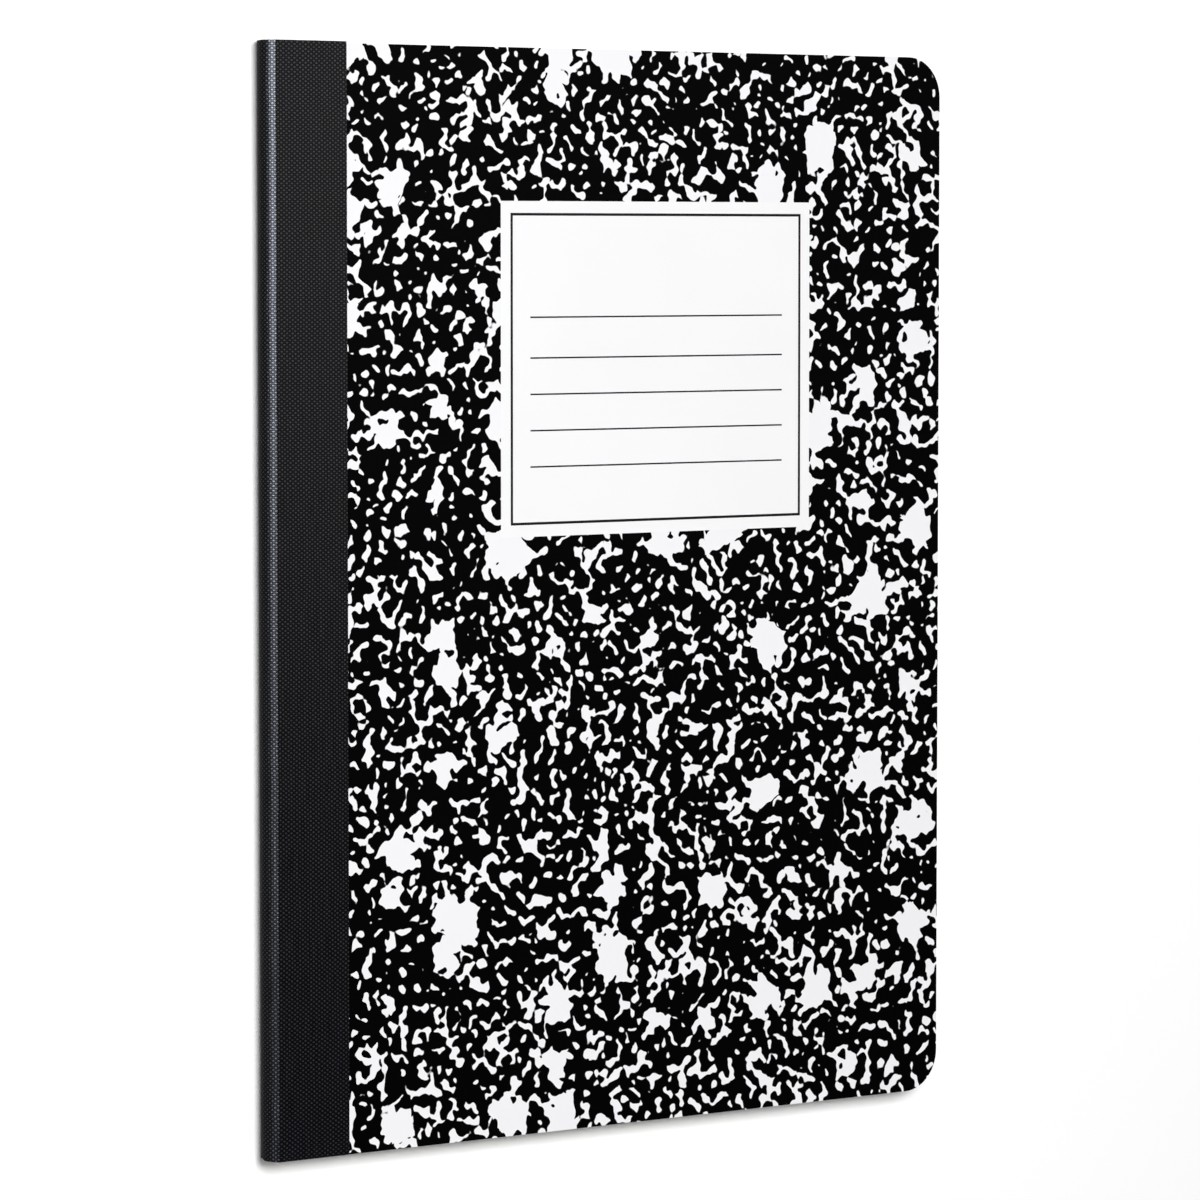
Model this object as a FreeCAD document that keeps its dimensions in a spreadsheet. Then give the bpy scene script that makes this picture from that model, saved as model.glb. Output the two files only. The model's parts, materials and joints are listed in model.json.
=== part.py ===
# Composition notebook, closed and lying on its back cover. All sizes are in millimetres.
#
# One section of folded leaves is sewn through its fold. Two pasteboard covers lie on it, and a strip of
# cloth tape is glued round the spine and over both boards, so the tape is the hinge of each cover.
# The tape is one strip. It is made in three nodes because it bends along the two hinge lines.
#
# The frame: X runs from the spine to the fore-edge, Y from the tail to the head, and Z from the back
# cover to the front one. The origin is the middle of the bottom. Each piece is drawn from the corner
# where spine, tail and table meet, and its Placement then moves it by half the width and half the height.
import FreeCAD, Part
import math
import os
import random
import Sketcher

SIZES = [
    # name, value, what it is
    ("book_width", 190.5, "from the back of the spine to the fore-edge"),
    ("book_height", 247.65, "from tail to head"),
    ("leaf_count", 100, "leaves, which are half as many folded sheets"),
    ("leaf_thickness", 0.06, "one leaf of writing paper"),
    ("board_thickness", 0.5, "pasteboard cover"),
    ("tape_thickness", 0.2, "cloth tape with its glue"),
    ("corner_radius", 9.5, "round corners at the fore-edge"),
    ("spine_corner_radius", 1.5, "nipped corners at the ends of the spine"),
    ("spine_depth", 1.5, "how far the rounded spine stands back from the hinge line"),
    ("hinge_gap", 0.3, "width of the line along which the tape bends"),
    ("tape_reach", 20.2, "from the back of the spine to the tape's edge on the cover"),
    ("thread_thickness", 0.4, "sewing thread, pulled square against the fold"),
    ("thread_clearance", 0.1, "room round the thread in its groove and holes, and under the tape"),
    ("stitch_pitch", 6.4, "from one needle hole to the next"),
    ("print_thickness", 0.05, "printed layer on the cover"),
    ("label_width", 88.9, "printed label"),
    ("label_height", 76.2, "printed label"),
    ("label_from_fore_edge", 39.6, "right edge of the label to the fore-edge"),
    ("label_from_head", 34.6, "top edge of the label to the head"),
    ("frame_inset", 2.7, "edge of the label to the outside of its frame line"),
    ("frame_line", 0.6, "width of the frame line"),
    ("rule_inset", 8.2, "edge of the label to the end of a writing line"),
    ("rule_line", 0.35, "width of a writing line"),
    ("rule_first", 15.7, "bottom edge of the label to the lowest writing line"),
    ("rule_spacing", 8.25, "from one writing line to the next"),
    ("rule_top_extra", 1.0, "extra space under the highest writing line"),
    ("marbling_pitch", 14.6, "average distance between the middles of two patches"),
    ("splash_radius", 6.6, "white splash, to its longest rays"),
    ("vein_length", 15.5, "white vein, from tip to tip"),
    ("vein_width", 5.2, "white vein, at its widest"),
]
RULE_COUNT = 5
SPLASH_RAYS = 6
LONG_RAY = (0.8, 1.0)  # shares of the splash's radius
SHORT_RAY = (0.5, 0.65)
VEIN_ARM = (0.7, 1.0)  # shares of half the vein's length
VEIN_TIP = (0.2, 0.4)  # shares of the vein's width
STRAY = 0.25  # how far a patch, a ray or an arm strays from its even place, as a share of the spacing
PATCH_KINDS = ["splash", "fork", "fork", "stroke", "stroke", "stroke"]
PRINT_SEEDS = {"front_marbling": 11, "back_marbling": 12}
SAME_PLACE = 1e-6  # two places that are nearer than this are one

# Stack heights above the table, in terms of the sheet, which the expressions below share.
BLOCK = "sizes.leaf_count * sizes.leaf_thickness"
BACK_FACE = "sizes.tape_thickness"
BLOCK_LOW = "(sizes.tape_thickness + sizes.board_thickness)"
BLOCK_HIGH = f"({BLOCK_LOW} + {BLOCK})"
FRONT_FACE = f"({BLOCK_HIGH} + sizes.board_thickness)"
TOTAL = f"({FRONT_FACE} + sizes.tape_thickness)"
MIDDLE = f"({TOTAL} / 2)"

# The rounded spine is one arc through both hinge lines and the back of the spine.
SPINE_RADIUS = f"((sizes.spine_depth^2 + ({MIDDLE})^2) / (2 * sizes.spine_depth))"
BLOCK_RADIUS = f"({SPINE_RADIUS} - sizes.tape_thickness)"
SPINE_SIDE = "(sizes.spine_depth - sizes.hinge_gap / 2)"
COVER_SIDE = "(sizes.spine_depth + sizes.hinge_gap / 2)"

# The outer run of thread lies under the tape and the inner run in the gutter of the middle sheet.
# Each run has its near and far side, counted from the back of the spine.
THREAD_NEAR = "(sizes.tape_thickness + sizes.thread_clearance)"
THREAD_FAR = f"({THREAD_NEAR} + sizes.thread_thickness)"
GUTTER_NEAR = f"({THREAD_FAR} + {BLOCK} / 2)"
GUTTER_FAR = f"({GUTTER_NEAR} + sizes.thread_thickness)"
THREAD_LOW = f"({MIDDLE} - sizes.thread_thickness / 2)"
THREAD_HIGH = f"({MIDDLE} + sizes.thread_thickness / 2)"
FIRST_STITCH = "sizes.stitch_pitch / 2"

LABEL_RIGHT = "(sizes.book_width - sizes.label_from_fore_edge)"
LABEL_LEFT = f"({LABEL_RIGHT} - sizes.label_width)"
LABEL_TOP = "(sizes.book_height - sizes.label_from_head)"
LABEL_LOW = f"({LABEL_TOP} - sizes.label_height)"


def make_sheet(doc):
    sheet = doc.addObject("Spreadsheet::Sheet", "sizes")
    for row, (name, value, words) in enumerate(SIZES, start=1):
        sheet.set(f"A{row}", words)
        sheet.set(f"B{row}", str(value))
        sheet.setAlias(f"B{row}", name)
    doc.recompute()
    return sheet


def new_body(doc, label, height="0"):
    """A body that stands at its own height above the table."""
    body = doc.addObject("PartDesign::Body", label)
    body.Label = label
    body.AllowCompound = True
    body.setExpression("Placement.Base.x", "-sizes.book_width / 2")
    body.setExpression("Placement.Base.y", "-sizes.book_height / 2")
    body.setExpression("Placement.Base.z", height)
    return body


def new_sketch(body, plane, name, forward="0"):
    """A sketch on one of the body's own planes, moved forward along the plane's normal."""
    sketch = body.newObject("Sketcher::SketchObject", name)
    origin_plane = next(f for f in body.Origin.OriginFeatures if f.Role == plane)
    sketch.AttachmentSupport = (origin_plane, [""])
    sketch.MapMode = "FlatFace"
    sketch.setExpression("AttachmentOffset.Base.z", forward)
    return sketch


def number(thing, expression):
    return float(thing.evalExpression(expression))


def bind(sketch, kind, geometry, point, expression):
    """Ties one coordinate of a point, or a radius, to the sheet."""
    value = number(sketch, expression)
    if kind == "Radius":
        constraint = Sketcher.Constraint(kind, geometry, value)
    elif expression == "0":
        axis = -1 if kind == "DistanceY" else -2
        sketch.addConstraint(Sketcher.Constraint("PointOnObject", geometry, point, axis))
        return
    else:
        constraint = Sketcher.Constraint(kind, -1, 1, geometry, point, value)
    index = sketch.addConstraint(constraint)
    sketch.renameConstraint(index, f"size{index}")
    sketch.setExpression(f"Constraints.size{index}", expression)


def join_ends(sketch, loop):
    for this, following in zip(loop, loop[1:] + loop[:1]):
        sketch.addConstraint(Sketcher.Constraint("Coincident", this, 2, following, 1))


def polygon(sketch, points):
    """Straight lines from point to point, each point being a pair of numbers."""
    ends = zip(points, points[1:])
    lines = [Part.LineSegment(FreeCAD.Vector(*a, 0), FreeCAD.Vector(*b, 0)) for a, b in ends]
    return list(sketch.addGeometry(lines, False))


def rectangle(sketch, left, right, low, high):
    x0, x1, y0, y1 = (number(sketch, e) for e in (left, right, low, high))
    loop = polygon(sketch, [(x0, y0), (x1, y0), (x1, y1), (x0, y1), (x0, y0)])
    join_ends(sketch, loop)
    for line, kind in zip(loop, ("Horizontal", "Vertical", "Horizontal", "Vertical")):
        sketch.addConstraint(Sketcher.Constraint(kind, line))
    bind(sketch, "DistanceX", loop[0], 1, left)
    bind(sketch, "DistanceY", loop[0], 1, low)
    bind(sketch, "DistanceX", loop[2], 1, right)
    bind(sketch, "DistanceY", loop[2], 1, high)


def thread_run(sketch, near, far, room="0"):
    """The section of a straight run of thread, or with some room round it the section of its groove."""
    rectangle(sketch, f"{near} - {room}", f"{far} + {room}",
              f"{THREAD_LOW} - {room}", f"{THREAD_HIGH} + {room}")


def thread_crossing(sketch, room="0"):
    """The section of the thread where it crosses the fold, at the first needle hole."""
    half = "sizes.thread_thickness / 2"
    rectangle(sketch, f"{FIRST_STITCH} - {half} - {room}", f"{FIRST_STITCH} + {half} + {room}",
              f"{THREAD_LOW} - {room}", f"{THREAD_HIGH} + {room}")


def spine_arc(sketch, radius):
    """The arc round the spine, from the front hinge line to the back one."""
    centre_x = number(sketch, SPINE_RADIUS)
    middle = number(sketch, MIDDLE)
    r = number(sketch, radius)
    half_angle = math.acos((centre_x - number(sketch, SPINE_SIDE)) / r)
    centre = FreeCAD.Vector(centre_x, middle, 0)
    whole = Part.Circle(centre, FreeCAD.Vector(0, 0, 1), r)
    arc = Part.ArcOfCircle(whole, math.pi - half_angle, math.pi + half_angle)
    index = sketch.addGeometry(arc, False)
    bind(sketch, "DistanceX", index, 3, SPINE_RADIUS)
    bind(sketch, "DistanceY", index, 3, MIDDLE)
    bind(sketch, "Radius", index, 0, radius)
    bind(sketch, "DistanceX", index, 1, SPINE_SIDE)
    bind(sketch, "DistanceX", index, 2, SPINE_SIDE)
    half_height = r * math.sin(half_angle)
    return index, middle + half_height, middle - half_height


def pad(body, sketch, length, reverse=False):
    feature = body.newObject("PartDesign::Pad", f"{sketch.Name}_pad")
    feature.Profile = sketch
    feature.setExpression("Length", length)
    feature.Reversed = reverse
    body.Document.recompute()
    return feature


def pocket(body, sketch, length=None, reverse=False):
    """A cut of a given length, or with no length right through both ways."""
    before = body.Shape.Volume
    feature = body.newObject("PartDesign::Pocket", f"{sketch.Name}_pocket")
    feature.Profile = sketch
    feature.Reversed = reverse
    if length is None:
        feature.Type = "ThroughAll"
        feature.SideType = "Symmetric"
    else:
        feature.setExpression("Length", length)
    body.Document.recompute()
    if not body.Shape.Volume < before:
        raise RuntimeError(f"{feature.Name} cuts nothing")
    return feature


def repeat_along_height(body, feature):
    """Repeats a feature at each needle hole of the seam."""
    y_axis = next(f for f in body.Origin.OriginFeatures if f.Role == "Y_Axis")
    pattern = body.newObject("PartDesign::LinearPattern", f"{feature.Name}_row")
    pattern.Originals = [feature]
    pattern.Direction = (y_axis, [""])
    pattern.Mode = "Spacing"
    pattern.setExpression("Offset", "sizes.stitch_pitch")
    pattern.setExpression("Occurrences", "floor(sizes.book_height / sizes.stitch_pitch)")
    body.Tip = pattern
    body.Document.recompute()
    return pattern


def round_fore_edge(body, feature):
    """Rounds the two corners at the fore-edge, which are cut through boards and leaves together."""
    far = feature.Shape.BoundBox.XMax
    names = []
    for index, edge in enumerate(feature.Shape.Edges, start=1):
        box = edge.BoundBox
        upright = max(box.XLength, box.YLength) < SAME_PLACE
        if upright and abs(box.XMax - far) < SAME_PLACE:
            names.append(f"Edge{index}")
    fillet = body.newObject("PartDesign::Fillet", f"{body.Name}_corners")
    fillet.Base = (feature, names)
    fillet.setExpression("Radius", "sizes.corner_radius")
    body.Document.recompute()


def nip_spine_corners(body):
    """Rounds the two ends of the spine."""
    sketch = new_sketch(body, "XY_Plane", f"{body.Name}_nip")
    r = number(sketch, "sizes.spine_corner_radius")
    height = number(sketch, "sizes.book_height")
    outside = 2 * r
    for end, inward in (("0", 1), ("sizes.book_height", -1)):
        y = 0.0 if inward > 0 else height
        away = y - inward * outside
        inner = y + inward * r
        lines = polygon(sketch, [(0, inner), (-outside, inner), (-outside, away), (r, away), (r, y)])
        whole = Part.Circle(FreeCAD.Vector(r, inner, 0), FreeCAD.Vector(0, 0, 1), r)
        start = math.pi if inward > 0 else math.pi / 2
        arc = sketch.addGeometry(Part.ArcOfCircle(whole, start, start + math.pi / 2), False)
        at_side, at_end = (1, 2) if inward > 0 else (2, 1)
        for this, following in zip(lines, lines[1:]):
            sketch.addConstraint(Sketcher.Constraint("Coincident", this, 2, following, 1))
        sketch.addConstraint(Sketcher.Constraint("Coincident", lines[0], 1, arc, at_side))
        sketch.addConstraint(Sketcher.Constraint("Coincident", lines[3], 2, arc, at_end))
        for line, kind in zip(lines, ("Horizontal", "Vertical", "Horizontal", "Vertical")):
            sketch.addConstraint(Sketcher.Constraint(kind, line))
        sketch.addConstraint(Sketcher.Constraint("Horizontal", arc, at_side, arc, 3))
        sketch.addConstraint(Sketcher.Constraint("Vertical", arc, at_end, arc, 3))
        inside, beyond = ("+", "-") if inward > 0 else ("-", "+")
        bind(sketch, "DistanceX", arc, 3, "sizes.spine_corner_radius")
        bind(sketch, "DistanceY", arc, 3, f"{end} {inside} sizes.spine_corner_radius")
        bind(sketch, "Radius", arc, 0, "sizes.spine_corner_radius")
        bind(sketch, "DistanceX", lines[0], 2, "-2 * sizes.spine_corner_radius")
        bind(sketch, "DistanceY", lines[1], 2, f"{end} {beyond} 2 * sizes.spine_corner_radius")
    pocket(body, sketch)


def text_block(doc):
    """The folded leaves as one solid, with their rounded fold, and the seam's holes through it."""
    body = new_body(doc, "text_block")
    profile = new_sketch(body, "XZ_Plane", "leaf_profile")
    arc, fold_top, fold_low = spine_arc(profile, BLOCK_RADIUS)
    side = number(profile, SPINE_SIDE)
    low = number(profile, BLOCK_LOW)
    high = number(profile, BLOCK_HIGH)
    width = number(profile, "sizes.book_width")
    points = [(side, fold_low), (side, low), (width, low), (width, high), (side, high), (side, fold_top)]
    lines = polygon(profile, points)
    join_ends(profile, [arc] + lines)
    for line, kind in zip(lines[1:4], ("Horizontal", "Vertical", "Horizontal")):
        profile.addConstraint(Sketcher.Constraint(kind, line))
    bind(profile, "DistanceX", lines[0], 2, SPINE_SIDE)
    bind(profile, "DistanceY", lines[0], 2, BLOCK_LOW)
    bind(profile, "DistanceX", lines[3], 1, "sizes.book_width")
    bind(profile, "DistanceY", lines[3], 1, BLOCK_HIGH)
    bind(profile, "DistanceX", lines[3], 2, SPINE_SIDE)
    leaves = pad(body, profile, "sizes.book_height", reverse=True)
    round_fore_edge(body, leaves)

    grooves = new_sketch(body, "XZ_Plane", "thread_grooves")
    thread_run(grooves, "0", THREAD_FAR, "sizes.thread_clearance")
    thread_run(grooves, GUTTER_NEAR, GUTTER_FAR, "sizes.thread_clearance")
    pocket(body, grooves)
    hole = new_sketch(body, "YZ_Plane", "needle_hole")
    thread_crossing(hole, "sizes.thread_clearance")
    repeat_along_height(body, pocket(body, hole, GUTTER_NEAR, reverse=True))
    nip_spine_corners(body)
    return body


def sewing_thread(doc):
    """A lock stitch: one run under the tape, one in the gutter, and a crossing at each needle hole."""
    body = new_body(doc, "sewing_thread")
    outer = new_sketch(body, "XZ_Plane", "outer_run")
    thread_run(outer, THREAD_NEAR, THREAD_FAR)
    pad(body, outer, "sizes.book_height", reverse=True)
    crossing = new_sketch(body, "YZ_Plane", "crossing", THREAD_NEAR)
    thread_crossing(crossing)
    repeat_along_height(body, pad(body, crossing, f"{GUTTER_FAR} - {THREAD_NEAR}"))
    inner = new_sketch(body, "XZ_Plane", "inner_run")
    thread_run(inner, GUTTER_NEAR, GUTTER_FAR)
    pad(body, inner, "sizes.book_height", reverse=True)
    nip_spine_corners(body)
    return body


def spine_tape(doc):
    """The middle of the cloth tape, glued round the fold of the leaves."""
    body = new_body(doc, "spine_tape")
    profile = new_sketch(body, "XZ_Plane", "tape_profile")
    outer, outer_top, outer_low = spine_arc(profile, SPINE_RADIUS)
    inner, inner_top, inner_low = spine_arc(profile, BLOCK_RADIUS)
    side = number(profile, SPINE_SIDE)
    upper = polygon(profile, [(side, outer_top), (side, inner_top)])[0]
    lower = polygon(profile, [(side, outer_low), (side, inner_low)])[0]
    for line, arc_end in ((upper, 1), (lower, 2)):
        profile.addConstraint(Sketcher.Constraint("Coincident", line, 1, outer, arc_end))
        profile.addConstraint(Sketcher.Constraint("Coincident", line, 2, inner, arc_end))
    pad(body, profile, "sizes.book_height", reverse=True)
    nip_spine_corners(body)
    return body


def cover_board(doc, label, height):
    """A pasteboard cover, cut with the leaves and so flush with them."""
    body = new_body(doc, label, height)
    outline = new_sketch(body, "XY_Plane", f"{label}_outline")
    rectangle(outline, COVER_SIDE, "sizes.book_width", "0", "sizes.book_height")
    round_fore_edge(body, pad(body, outline, "sizes.board_thickness"))
    return body


def cover_tape(doc, label, height):
    """The part of the cloth tape that is glued over a cover."""
    body = new_body(doc, label, height)
    outline = new_sketch(body, "XY_Plane", f"{label}_outline")
    rectangle(outline, COVER_SIDE, "sizes.tape_reach", "0", "sizes.book_height")
    pad(body, outline, "sizes.tape_thickness")
    return body


def label_panel(doc):
    body = new_body(doc, "label_panel", FRONT_FACE)
    outline = new_sketch(body, "XY_Plane", "panel_outline")
    rectangle(outline, LABEL_LEFT, LABEL_RIGHT, LABEL_LOW, LABEL_TOP)
    pad(body, outline, "sizes.print_thickness")
    return body


def label_frame(doc):
    """The ruled border inside the label's edge."""
    body = new_body(doc, "label_frame", f"{FRONT_FACE} + sizes.print_thickness")
    outline = new_sketch(body, "XY_Plane", "frame_outline")
    for inset in ("sizes.frame_inset", "(sizes.frame_inset + sizes.frame_line)"):
        rectangle(outline, f"{LABEL_LEFT} + {inset}", f"{LABEL_RIGHT} - {inset}",
                  f"{LABEL_LOW} + {inset}", f"{LABEL_TOP} - {inset}")
    pad(body, outline, "sizes.print_thickness")
    return body


def label_rules(doc):
    """The writing lines, counted from the lowest."""
    body = new_body(doc, "label_rules", f"{FRONT_FACE} + sizes.print_thickness")
    outline = new_sketch(body, "XY_Plane", "rule_outlines")
    for index in range(RULE_COUNT):
        low = f"{LABEL_LOW} + sizes.rule_first + {index} * sizes.rule_spacing"
        if index == RULE_COUNT - 1:
            low = f"{low} + sizes.rule_top_extra"
        rectangle(outline, f"{LABEL_LEFT} + sizes.rule_inset", f"{LABEL_RIGHT} - sizes.rule_inset",
                  low, f"{low} + sizes.rule_line")
    pad(body, outline, "sizes.print_thickness")
    return body


def splash_points(chance, radius):
    """A splash: long and short rays in turn."""
    points = []
    for index in range(2 * SPLASH_RAYS):
        reach = radius * chance.uniform(*(LONG_RAY if index % 2 else SHORT_RAY))
        turn = math.pi * (index + chance.uniform(-STRAY, STRAY)) / SPLASH_RAYS
        points.append((reach * math.cos(turn), reach * math.sin(turn)))
    return points


def vein_points(chance, length, width, arms):
    """A vein: two arms make a bent stroke and three make a fork."""
    heading = chance.uniform(0, 2 * math.pi)
    points = []
    for index in range(arms):
        turn = heading + 2 * math.pi * (index + chance.uniform(-STRAY, STRAY)) / arms
        reach = length / 2 * chance.uniform(*VEIN_ARM)
        tip = width * chance.uniform(*VEIN_TIP)
        along_x, along_y = math.cos(turn), math.sin(turn)
        points.append((reach * along_x + tip * along_y, reach * along_y - tip * along_x))
        points.append((reach * along_x - tip * along_y, reach * along_y + tip * along_x))
        crotch = turn + math.pi / arms
        points.append((width / 2 * math.cos(crotch), width / 2 * math.sin(crotch)))
    return points


def patch_outlines(sheet, chance):
    """The outlines of all patches, laid out in loose courses like brickwork over the whole cover."""
    pitch = sheet.marbling_pitch
    columns = round(sheet.book_width / pitch) + 1
    rows = round(sheet.book_height / pitch)
    outlines = []
    for row in range(rows):
        for column in range(columns):
            along = column + 0.5 * (row % 2) + chance.uniform(-STRAY, STRAY)
            up = row + 0.5 + chance.uniform(-STRAY, STRAY)
            x = along * sheet.book_width / (columns - 1)
            y = up * sheet.book_height / rows
            kind = chance.choice(PATCH_KINDS)
            if kind == "splash":
                points = splash_points(chance, sheet.splash_radius)
            else:
                arms = 3 if kind == "fork" else 2
                points = vein_points(chance, sheet.vein_length, sheet.vein_width, arms)
            outlines.append([(x + dx, y + dy) for dx, dy in points])
    return outlines


def cover_marbling(doc, sheet, label, board, outer_z, grow, keep_clear):
    """White patches printed on a cover's black ground, cut off at its edges, the tape and the label."""
    corner = FreeCAD.Vector(-sheet.book_width / 2, -sheet.book_height / 2, outer_z)
    field = next(f for f in board.Shape.Faces if abs(f.CenterOfMass.z - outer_z) < SAME_PLACE)
    under_tape = Part.makePlane(sheet.tape_reach, sheet.book_height, corner)
    field = field.cut([under_tape] + keep_clear)
    faces = []
    for outline in patch_outlines(sheet, random.Random(PRINT_SEEDS[label])):
        corners = [corner + FreeCAD.Vector(x, y, 0) for x, y in outline]
        faces.append(Part.Face(Part.makePolygon(corners + corners[:1])))
    printed = faces[0].multiFuse(faces[1:]).removeSplitter().common(field)
    layer = FreeCAD.Vector(0, 0, grow)
    feature = doc.addObject("Part::Feature", label)
    feature.Label = label
    feature.Shape = Part.makeCompound([face.extrude(layer) for face in printed.Faces])
    feature.Placement = FreeCAD.Placement()
    return feature


def check_and_write(doc, pieces):
    doc.recompute()
    for thing in doc.Objects:
        if "Invalid" in thing.State or "Error" in thing.State:
            raise RuntimeError(f"{thing.Label} failed: {thing.State}")
    os.makedirs("parts", exist_ok=True)
    for piece in pieces:
        shape = piece.Shape
        if shape.isNull() or not shape.isValid() or not shape.Solids:
            raise RuntimeError(f"{piece.Label} has no valid solid")
        shape.exportStep(f"parts/{piece.Label}.step")
        box = shape.BoundBox
        print(f"{piece.Label}: {len(shape.Solids)} solids, {shape.Volume:.1f} mm3, "
              f"z {box.ZMin:.2f} to {box.ZMax:.2f}")


def main():
    doc = FreeCAD.newDocument("composition_notebook")
    sheet = make_sheet(doc)
    block = text_block(doc)
    thread = sewing_thread(doc)
    spine = spine_tape(doc)
    front = cover_board(doc, "front_cover", BLOCK_HIGH)
    front_tape = cover_tape(doc, "front_tape", FRONT_FACE)
    back = cover_board(doc, "back_cover", BACK_FACE)
    back_tape = cover_tape(doc, "back_tape", "0")
    panel = label_panel(doc)
    frame = label_frame(doc)
    rules = label_rules(doc)

    front_z = number(front, FRONT_FACE)
    back_z = number(back, BACK_FACE)
    print_layer = sheet.print_thickness
    under_label = [f for f in panel.Shape.Faces if abs(f.CenterOfMass.z - front_z) < SAME_PLACE]
    front_print = cover_marbling(doc, sheet, "front_marbling", front, front_z, print_layer, under_label)
    back_print = cover_marbling(doc, sheet, "back_marbling", back, back_z, -print_layer, [])

    check_and_write(doc, [block, thread, spine, front, front_tape, front_print, panel, frame, rules,
                          back, back_tape, back_print])


main()
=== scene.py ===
import json
import math
import random
import bmesh
import bpy
from mathutils import Matrix, Vector, geometry, noise


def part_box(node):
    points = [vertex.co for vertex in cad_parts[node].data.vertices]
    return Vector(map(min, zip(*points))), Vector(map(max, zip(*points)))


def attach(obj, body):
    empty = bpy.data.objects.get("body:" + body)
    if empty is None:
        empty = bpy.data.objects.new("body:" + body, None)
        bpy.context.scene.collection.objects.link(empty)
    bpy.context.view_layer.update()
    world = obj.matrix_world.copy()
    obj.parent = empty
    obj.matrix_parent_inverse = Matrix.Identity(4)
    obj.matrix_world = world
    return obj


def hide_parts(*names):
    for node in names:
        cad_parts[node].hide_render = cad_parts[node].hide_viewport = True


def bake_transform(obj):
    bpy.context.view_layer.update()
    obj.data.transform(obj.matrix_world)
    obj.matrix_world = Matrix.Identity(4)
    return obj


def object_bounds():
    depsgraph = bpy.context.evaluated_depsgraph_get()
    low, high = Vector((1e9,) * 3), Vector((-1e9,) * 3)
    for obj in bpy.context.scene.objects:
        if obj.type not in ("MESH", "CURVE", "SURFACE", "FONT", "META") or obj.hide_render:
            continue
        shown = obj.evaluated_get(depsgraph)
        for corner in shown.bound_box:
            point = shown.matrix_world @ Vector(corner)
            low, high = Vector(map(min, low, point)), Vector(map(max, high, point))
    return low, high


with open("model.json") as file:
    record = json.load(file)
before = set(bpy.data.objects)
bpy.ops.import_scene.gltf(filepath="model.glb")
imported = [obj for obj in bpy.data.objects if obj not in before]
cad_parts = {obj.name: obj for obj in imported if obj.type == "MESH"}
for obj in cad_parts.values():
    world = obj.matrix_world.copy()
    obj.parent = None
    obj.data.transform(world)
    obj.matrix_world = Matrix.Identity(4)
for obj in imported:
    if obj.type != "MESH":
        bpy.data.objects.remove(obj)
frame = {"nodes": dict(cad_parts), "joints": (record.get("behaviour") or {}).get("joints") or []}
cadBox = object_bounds()
nodes = frame["nodes"]
mm = 0.001  # the scene is in metres, and the sizes below are in millimetres
print("frame loaded:", sorted(nodes))

# The book's own lines, read from the solids.
coverLow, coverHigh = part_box("front_cover")
backLow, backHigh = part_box("back_cover")
tapeLow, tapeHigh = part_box("front_tape")
labelLow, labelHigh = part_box("label_panel")
spineX = cadBox[0].x  # back of the spine
foreX = coverHigh.x  # fore-edge
headY = coverHigh.y
tailY = coverLow.y
topZ = tapeHigh.z  # outer face of the tape on the front cover
middleZ = topZ / 2
hingeX = next(j for j in frame["joints"] if j["name"] == "front_cover_hinge")["pos_m"][0]
tapeThickness = tapeHigh.z - tapeLow.z
foreCornerRadius = 9.5 * mm

# A noise texture swings about its middle value, and nearly all its values lie between the other two.
noiseMiddle = 0.5
noiseLow, noiseHigh = 0.3, 0.7
waveLength = 0.31  # mm from one band of a wave texture to the next, at scale 1


def linearColour(hexCode):
    # sRGB hex to the linear values that the shaders take
    channels = [int(hexCode[i:i + 2], 16) / 255 for i in (1, 3, 5)]
    linear = [c / 12.92 if c <= 0.04045 else ((c + 0.055) / 1.055) ** 2.4 for c in channels]
    return (*linear, 1.0)


def addNode(tree, kind, inputs=None, **settings):
    # An input is a socket to link or a value. On a colour mix, 6 and 7 are the colours and 2 is the result.
    node = tree.nodes.new(kind)
    for name, value in settings.items():
        setattr(node, name, value)
    for socket, value in (inputs or {}).items():
        if isinstance(value, bpy.types.NodeSocket):
            tree.links.new(value, node.inputs[socket])
        else:
            node.inputs[socket].default_value = value
    return node


def newMaterial(name):
    material = bpy.data.materials.new(name)
    material.use_nodes = True
    tree = material.node_tree
    tree.nodes.clear()
    return material, tree


def finishMaterial(tree, s, colour, relief, unevenness=None, gloss=None):
    # The relief makes the roughness uneven too, unless another pattern is given for that.
    bump = addNode(tree, "ShaderNodeBump",
                   {"Height": relief, "Strength": s["reliefStrength"], "Distance": s["reliefHeight"] * mm})
    smoothest, roughest = s["roughness"]
    rough = addNode(tree, "ShaderNodeMapRange",
                    {"Value": unevenness or relief, "To Min": smoothest, "To Max": roughest})
    shader = addNode(tree, "ShaderNodeBsdfPrincipled",
                     {"Base Color": colour, "Normal": bump.outputs[0], "Roughness": rough.outputs[0],
                      "Specular IOR Level": gloss or s["gloss"]})
    addNode(tree, "ShaderNodeOutputMaterial", {"Surface": shader.outputs[0]})


def placeInMm(tree):
    # object coordinates in millimetres, so that every pattern below has its real size
    place = addNode(tree, "ShaderNodeTexCoord")
    return addNode(tree, "ShaderNodeVectorMath", {0: place.outputs["Object"], "Scale": 1 / mm},
                   operation="SCALE").outputs[0]


def swing(tree, vector, size, shift=(0.0, 0.0, 0.0)):
    # a smooth noise that swings about zero, with its size and its shift in mm
    shifted = addNode(tree, "ShaderNodeVectorMath", {0: vector, 1: shift}, operation="ADD")
    value = addNode(tree, "ShaderNodeTexNoise",
                    {"Vector": shifted.outputs[0], "Scale": 1 / size, "Detail": 0.0}, noise_dimensions="2D")
    return addNode(tree, "ShaderNodeMath", {0: value.outputs["Fac"], 1: noiseMiddle},
                   operation="SUBTRACT").outputs[0]


def dress(piece, material):
    piece.data.materials.clear()
    piece.data.materials.append(material)


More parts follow.
